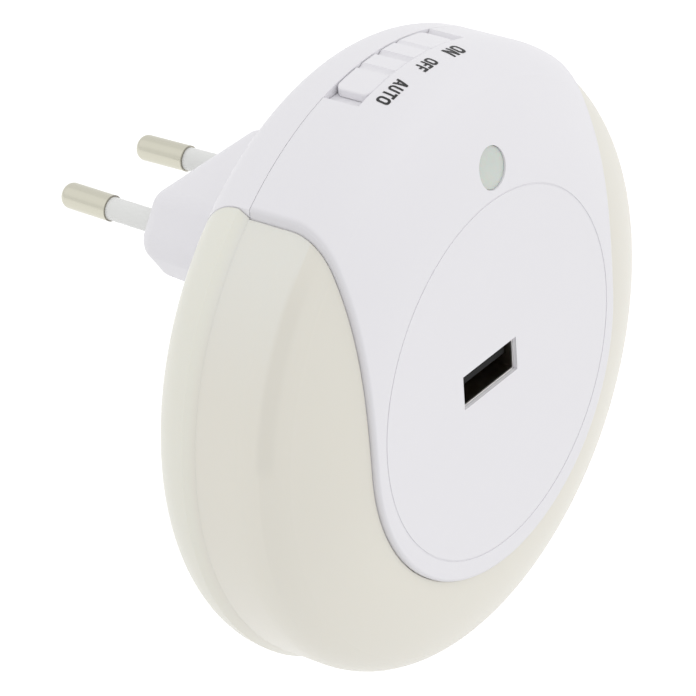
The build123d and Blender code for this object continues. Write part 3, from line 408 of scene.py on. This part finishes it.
# ---- pin sleeves -----------------------------------------------------------------------------
# White nylon, moulded round the root of each pin so that no live metal can be touched when the
# plug is part way in.
NYLON = (0.765, 0.77, 0.755)
sleeve_white = moulded_white("sleeve white", NYLON)
wear("pin_sleeve_left", sleeve_white)
wear("pin_sleeve_right", sleeve_white)

# ---- USB socket ------------------------------------------------------------------------------
# A nickel-plated steel shell, folded from sheet and soldered to the board by its legs, round a
# black tongue that carries four gold-flashed contacts. The front edge of the shell carries a
# painted highlight, and behind it the shell is coloured dark and brownish.
SHELL_DULL = (0.20, 0.17, 0.14)
SHELL_WORN = (0.36, 0.32, 0.27)
SHELL_EDGE_HIGHLIGHT = (0.93, 0.92, 0.90)
SHELL_EDGE_DEPTH = 0.7 * MM
SHELL_EDGE_SOFT = 0.1 * MM
TONGUE_BLACK = (0.003, 0.003, 0.003)
GOLD_DULL = (0.83, 0.60, 0.25)
GOLD_BRIGHT = (0.90, 0.70, 0.35)
GOLD_SCUFFS = 3000.0
DARK_GRAIN = 4000.0


def plated(name, low, high, roughness, scuffs=900.0, edge_highlight=None):
    """Plated metal, cloudy and finely scuffed; an edge highlight is painted on the shell's front
    edge.
    """
    finish = Finish(name)
    scuff = finish.noise(scuffs, detail=3.0)
    tone = finish.mix(scuff, low, high)
    if edge_highlight:
        # a painted highlight on the front edge of the shell
        depth = finish.place("Y") - FRONT_Y
        ahead = 1 - depth.step(SHELL_EDGE_DEPTH, SHELL_EDGE_DEPTH + SHELL_EDGE_SOFT)
        tone = finish.mix(ahead, tone, edge_highlight)
    return finish.surface({
        "Base Color": tone,
        "Metallic": 1.0,
        "Roughness": roughness + scuff * 0.15,
        "Normal": finish.bump(scuff, GRAIN_HEIGHT, strength=0.2),
    })


def moulded_dark(name, colour):
    """Glass-filled black plastic, slightly grained."""
    finish = Finish(name)
    grain = finish.noise(DARK_GRAIN)
    return finish.surface({
        "Base Color": finish.mix(grain, colour, shade(colour, 1.5)),
        "Roughness": 0.48 + grain * 0.1,
        "Specular IOR Level": 0.15,
        "Normal": finish.bump(grain, GRAIN_HEIGHT, strength=0.3),
    })


wear("usb_shell", plated("plated steel", SHELL_DULL, SHELL_WORN, roughness=0.24, edge_highlight=SHELL_EDGE_HIGHLIGHT))
wear("usb_insulator", moulded_dark("tongue black", TONGUE_BLACK))
wear("usb_contacts", plated("gold flash", GOLD_DULL, GOLD_BRIGHT, roughness=0.2, scuffs=GOLD_SCUFFS))

# ---- main board ------------------------------------------------------------------------------
# Round glass-epoxy board under green solder mask, whose weave shows faintly. It is clamped
# between the screw posts of the two shells.
MASK_DARK = (0.012, 0.11, 0.035)
MASK_PALE = (0.02, 0.16, 0.055)
WEAVE = 1500.0
WEAVE_HEIGHT = 0.02 * MM
mask_green = Finish("solder mask green")
weave = mask_green.noise(WEAVE, detail=3.0)
wear("main_board", mask_green.surface({
    "Base Color": mask_green.mix(weave, MASK_DARK, MASK_PALE),
    "Roughness": 0.35 + weave * 0.1,
    "Normal": mask_green.bump(weave, WEAVE_HEIGHT, strength=0.3),
}))

# ---- reflector tray --------------------------------------------------------------------------
# A matte white tray over the board that throws the light of the LEDs out into the diffuser.
# Each LED stands in a window of its own in the floor of the tray.
PLAIN_CLOUDS = 800.0
PLAIN_HEIGHT = 0.02 * MM


def plain_finish(name, low, high, roughness):
    """A plain non-metal finish that varies a little between two colours."""
    finish = Finish(name)
    cast = finish.noise(PLAIN_CLOUDS, detail=3.0)
    return finish.surface({
        "Base Color": finish.mix(cast, low, high),
        "Roughness": roughness + cast * 0.12,
        "Normal": finish.bump(cast, PLAIN_HEIGHT, strength=0.25),
    })


wear("reflector", plain_finish(
    "tray white", low=(0.80, 0.80, 0.78), high=(0.84, 0.84, 0.82), roughness=0.5
))

# ---- LEDs ------------------------------------------------------------------------------------
# Ten surface-mounted white LEDs, each under yellow phosphor, soldered in an arc near the edge
# of the board.
wear("leds", plain_finish(
    "phosphor yellow", low=(0.74, 0.58, 0.13), high=(0.82, 0.68, 0.22), roughness=0.3
))

# ---- light sensor ----------------------------------------------------------------------------
# A phototransistor moulded in clear epoxy. It stands on the board, at the end of the bore
# behind the sensor window.
wear("light_sensor", plain_finish(
    "clear epoxy", low=(0.50, 0.54, 0.56), high=(0.58, 0.62, 0.64), roughness=0.12
))

# ---- slide switch ----------------------------------------------------------------------------
# A three-position slide switch in a tinned steel frame, soldered to the board; the knob outside
# grips its black nylon actuator.
wear("slide_switch", plated(
    "tinned steel", low=(0.42, 0.42, 0.41), high=(0.52, 0.52, 0.51), roughness=0.3
))
wear("switch_actuator", moulded_dark("actuator black", (0.02, 0.02, 0.021)))

# ---- mains leads -----------------------------------------------------------------------------
# Stranded wires in brown and blue PVC. Each is soldered to the tail of its pin and to a pad on
# the back of the board.
wear("live_lead", plain_finish(
    "brown PVC", low=(0.07, 0.025, 0.01), high=(0.10, 0.04, 0.015), roughness=0.4
))
wear("neutral_lead", plain_finish(
    "blue PVC", low=(0.012, 0.05, 0.28), high=(0.02, 0.07, 0.36), roughness=0.4
))

# ---- electrolytic capacitors -----------------------------------------------------------------
# Aluminium cans in shrink sleeve: two for the rectified mains and one for the 5 V side, with
# their wires soldered through the board.
wear("input_capacitors", plain_finish(
    "sleeve black", low=(0.01, 0.012, 0.02), high=(0.02, 0.022, 0.03), roughness=0.25
))
wear("output_capacitor", plain_finish(
    "sleeve blue", low=(0.01, 0.02, 0.06), high=(0.015, 0.03, 0.09), roughness=0.25
))

# ---- suppression capacitor -------------------------------------------------------------------
# A film capacitor potted in a yellow box, soldered to the back of the board. It lies across the
# mains and holds back interference.
wear("suppression_capacitor", plain_finish(
    "box yellow", low=(0.60, 0.42, 0.04), high=(0.68, 0.50, 0.07), roughness=0.4
))

# ---- fuse resistor ---------------------------------------------------------------------------
# A wire-wound fusible resistor under a rough green cement coat. Its wires are bent down to the
# board.
wear("fuse_resistor", plain_finish(
    "cement green", low=(0.05, 0.16, 0.06), high=(0.08, 0.22, 0.09), roughness=0.6
))

# ---- surface-mounted parts -------------------------------------------------------------------
# Black epoxy packages soldered flat on the board: the rectifier, the two chips, the output
# diode and five chip resistors.
EPOXY_BLACK = (0.022, 0.022, 0.024)
chip_black = moulded_dark("epoxy black", EPOXY_BLACK)
for node in ("bridge_rectifier", "switching_chip", "output_diode", "control_chip", "small_resistors"):
    wear(node, chip_black)

# ---- choke -----------------------------------------------------------------------------------
# A drum of ground ferrite with one layer of enamelled copper wire in its waist, soldered to the
# back of the board.
FERRITE_DARK = (0.02, 0.02, 0.022)
FERRITE_PALE = (0.035, 0.035, 0.038)
COPPER_DULL = (0.48, 0.16, 0.05)
COPPER_BRIGHT = (0.62, 0.24, 0.09)
COPPER_SCUFFS = 4000.0
wear("choke_core", plain_finish("drum ferrite", FERRITE_DARK, FERRITE_PALE, roughness=0.55))
wear("choke_winding", plated(
    "choke copper", COPPER_DULL, COPPER_BRIGHT, roughness=0.25, scuffs=COPPER_SCUFFS
))

# ---- transformer -----------------------------------------------------------------------------
# Two halves of ferrite core closed round a black bobbin, its winding covered with yellow
# polyester tape.
wear("transformer_core", plain_finish("core ferrite", FERRITE_DARK, FERRITE_PALE, roughness=0.55))
wear("transformer_bobbin", moulded_dark("bobbin black", EPOXY_BLACK))
wear("transformer_winding", plain_finish(
    "tape yellow", low=(0.55, 0.42, 0.03), high=(0.64, 0.50, 0.06), roughness=0.35
))

# ---- case screws -----------------------------------------------------------------------------
# Three zinc-plated self-tapping screws with cross recesses, sunk in wells of the back shell.
# They draw the two shells together.
wear("case_screws", plated(
    "zinc plating", low=(0.40, 0.41, 0.43), high=(0.52, 0.53, 0.55), roughness=0.3
))

# ---- switch lettering ------------------------------------------------------------------------
# AUTO, OFF and ON, pad-printed in black ahead of the knob. The words read towards -X and their
# tops point to the front; each letter follows the curve of the case.
BODY_R = 46.85
SHOULDER_CENTRE = (38.494, 11.5)      # radius and depth, mm
SHOULDER_R = 8.356
PRINT_PROUD = 0.03
PRINT_STEP = 0.35
PRINT_ROUNDS = 3
BEND_STEPS = 6
STROKE = 0.36
CAP = 1.9
LETTER_GAP = 0.2
WIDTHS = {"A": 1.35, "U": 1.15, "T": 1.15, "O": 1.25, "F": 1.0, "N": 1.25}
# shares of a letter's width or height
O_ROUNDING = 0.42
F_BAR_LENGTH = 0.88
F_BAR_UP = 0.52
A_BAR_UP = 0.2
# shares of the stroke
O_HOLE_SHARPER = 0.7
N_NOTCH = 1.9
N_SLANT = 1.15
A_HALF_PEAK = 0.6
A_FOOT = 1.05
A_BAR = 0.8
# word, X where it begins and ends, depth of its foot and its top, mm
WORDS = (
    ("AUTO", -4.75, -10.25, 11.2, 9.1),
    ("OFF", 2.25, -1.2, 11.2, 9.15),
    ("ON", 8.35, 5.3, 11.1, 8.8),
)
INK_FULL = (0.008, 0.008, 0.009)
INK_THIN = (0.016, 0.016, 0.017)
INK_CLOUDS = 2500.0
ink = Finish("pad print black")
ink_cloud = ink.noise(INK_CLOUDS)
ink_black = ink.surface({
    "Base Color": ink.mix(ink_cloud, INK_FULL, INK_THIN),
    "Roughness": 0.45 + ink_cloud * 0.1,
})


def bend(centre, radius, start, stop):
    """Points round a centre at one radius, from one angle to another in degrees."""
    turns = [start + (stop - start) * turn / BEND_STEPS for turn in range(BEND_STEPS + 1)]
    return [
        (centre[0] + radius * math.cos(math.radians(turn)),
         centre[1] + radius * math.sin(math.radians(turn)))
        for turn in turns
    ]


def round_box(low_x, low_y, high_x, high_y, radius):
    """A box with round corners, anticlockwise."""
    left, right = low_x + radius, high_x - radius
    below, above = low_y + radius, high_y - radius
    points = []
    for centre, start in (
        ((right, above), 0), ((left, above), 90), ((left, below), 180), ((right, below), 270),
    ):
        points += bend(centre, radius, start, start + 90)
    return points


def letter_outlines(letter):
    """The outline of a bold letter, and its hole if it has one, from (0, 0) to (width, CAP)."""
    wide = WIDTHS[letter]
    middle = wide / 2
    right = wide - STROKE
    under = CAP - STROKE
    if letter == "O":
        radius = O_ROUNDING * wide
        return [
            round_box(0, 0, wide, CAP, radius),
            round_box(STROKE, STROKE, right, under, radius - STROKE * O_HOLE_SHARPER),
        ]
    if letter == "U":
        outside = bend((middle, middle), middle, 180, 360)[1:-1]
        inside = bend((middle, middle), middle - STROKE, 360, 180)[1:-1]
        return [[
            (0, CAP), (0, middle), *outside, (wide, middle), (wide, CAP), (right, CAP),
            (right, middle), *inside, (STROKE, middle), (STROKE, CAP),
        ]]
    if letter == "T":
        stem_left, stem_right = middle - STROKE / 2, middle + STROKE / 2
        return [[
            (0, CAP), (0, under), (stem_left, under), (stem_left, 0), (stem_right, 0),
            (stem_right, under), (wide, under), (wide, CAP),
        ]]
    if letter == "F":
        bar_end = F_BAR_LENGTH * wide
        bar_low, bar_high = F_BAR_UP * CAP - STROKE / 2, F_BAR_UP * CAP + STROKE / 2
        return [[
            (0, 0), (STROKE, 0), (STROKE, bar_low), (bar_end, bar_low), (bar_end, bar_high),
            (STROKE, bar_high), (STROKE, under), (wide, under), (wide, CAP), (0, CAP),
        ]]
    if letter == "N":
        notch, slant = N_NOTCH * STROKE, N_SLANT * STROKE
        return [[
            (0, 0), (STROKE, 0), (STROKE, CAP - notch), (wide - slant, 0), (wide, 0), (wide, CAP),
            (right, CAP), (right, notch), (slant, CAP), (0, CAP),
        ]]
    foot, half_peak = A_FOOT * STROKE, A_HALF_PEAK * STROKE
    lean = (middle - half_peak) / CAP
    bar_low = A_BAR_UP * CAP
    bar_high = bar_low + A_BAR * STROKE
    low_in, high_in = foot + lean * bar_low, foot + lean * bar_high
    return [
        [(0, 0), (foot, 0), (low_in, bar_low), (wide - low_in, bar_low), (wide - foot, 0),
         (wide, 0), (middle + half_peak, CAP), (middle - half_peak, CAP)],
        [(high_in, bar_high), (wide - high_in, bar_high), (middle, (middle - foot) / lean)],
    ]


def case_up(x, depth_mm):
    """Height of the case above the axis, in mm, over a place near its top."""
    radius = BODY_R
    if depth_mm < SHOULDER_CENTRE[1]:
        radius = SHOULDER_CENTRE[0] + math.sqrt(
            SHOULDER_R ** 2 - (depth_mm - SHOULDER_CENTRE[1]) ** 2
        )
    return math.sqrt(radius ** 2 - x ** 2)


def flat_word(word):
    """The letters of a word, flat and in mm, cut fine enough to bend with the case."""
    shape = bmesh.new()
    begun = 0.0
    for letter in word:
        outlines = [[Vector((begun + x, y, 0)) for x, y in outline]
                    for outline in letter_outlines(letter)]
        corners = [shape.verts.new(point) for outline in outlines for point in outline]
        for triangle in tessellate_polygon(outlines):
            shape.faces.new([corners[index] for index in triangle])
        begun += WIDTHS[letter] + LETTER_GAP
    for _ in range(PRINT_ROUNDS):
        long_edges = [edge for edge in shape.edges if edge.calc_length() > PRINT_STEP]
        bmesh.ops.subdivide_edges(shape, edges=long_edges, cuts=1)
        bmesh.ops.triangulate(shape, faces=shape.faces)
    return shape


for word, x_start, x_end, foot_depth, top_depth in WORDS:
    run = sum(WIDTHS[letter] for letter in word) + LETTER_GAP * (len(word) - 1)
    shape = flat_word(word)
    for vertex in shape.verts:
        x = x_start + (x_end - x_start) * vertex.co.x / run
        depth_mm = foot_depth + (top_depth - foot_depth) * vertex.co.y / CAP
        up = case_up(x, depth_mm) + PRINT_PROUD
        vertex.co = Vector((x * MM, FRONT_Y + depth_mm * MM, AXIS_Z + up * MM))
    bmesh.ops.recalc_face_normals(shape, faces=shape.faces)
    for face in shape.faces:
        if face.normal.z < 0:
            face.normal_flip()
    print_mesh = bpy.data.meshes.new("print_" + word.lower())
    shape.to_mesh(print_mesh)
    shape.free()
    print_mesh.materials.append(ink_black)
    printed = bpy.data.objects.new("print_" + word.lower(), print_mesh)
    bpy.context.scene.collection.objects.link(printed)
    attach(printed, "case")
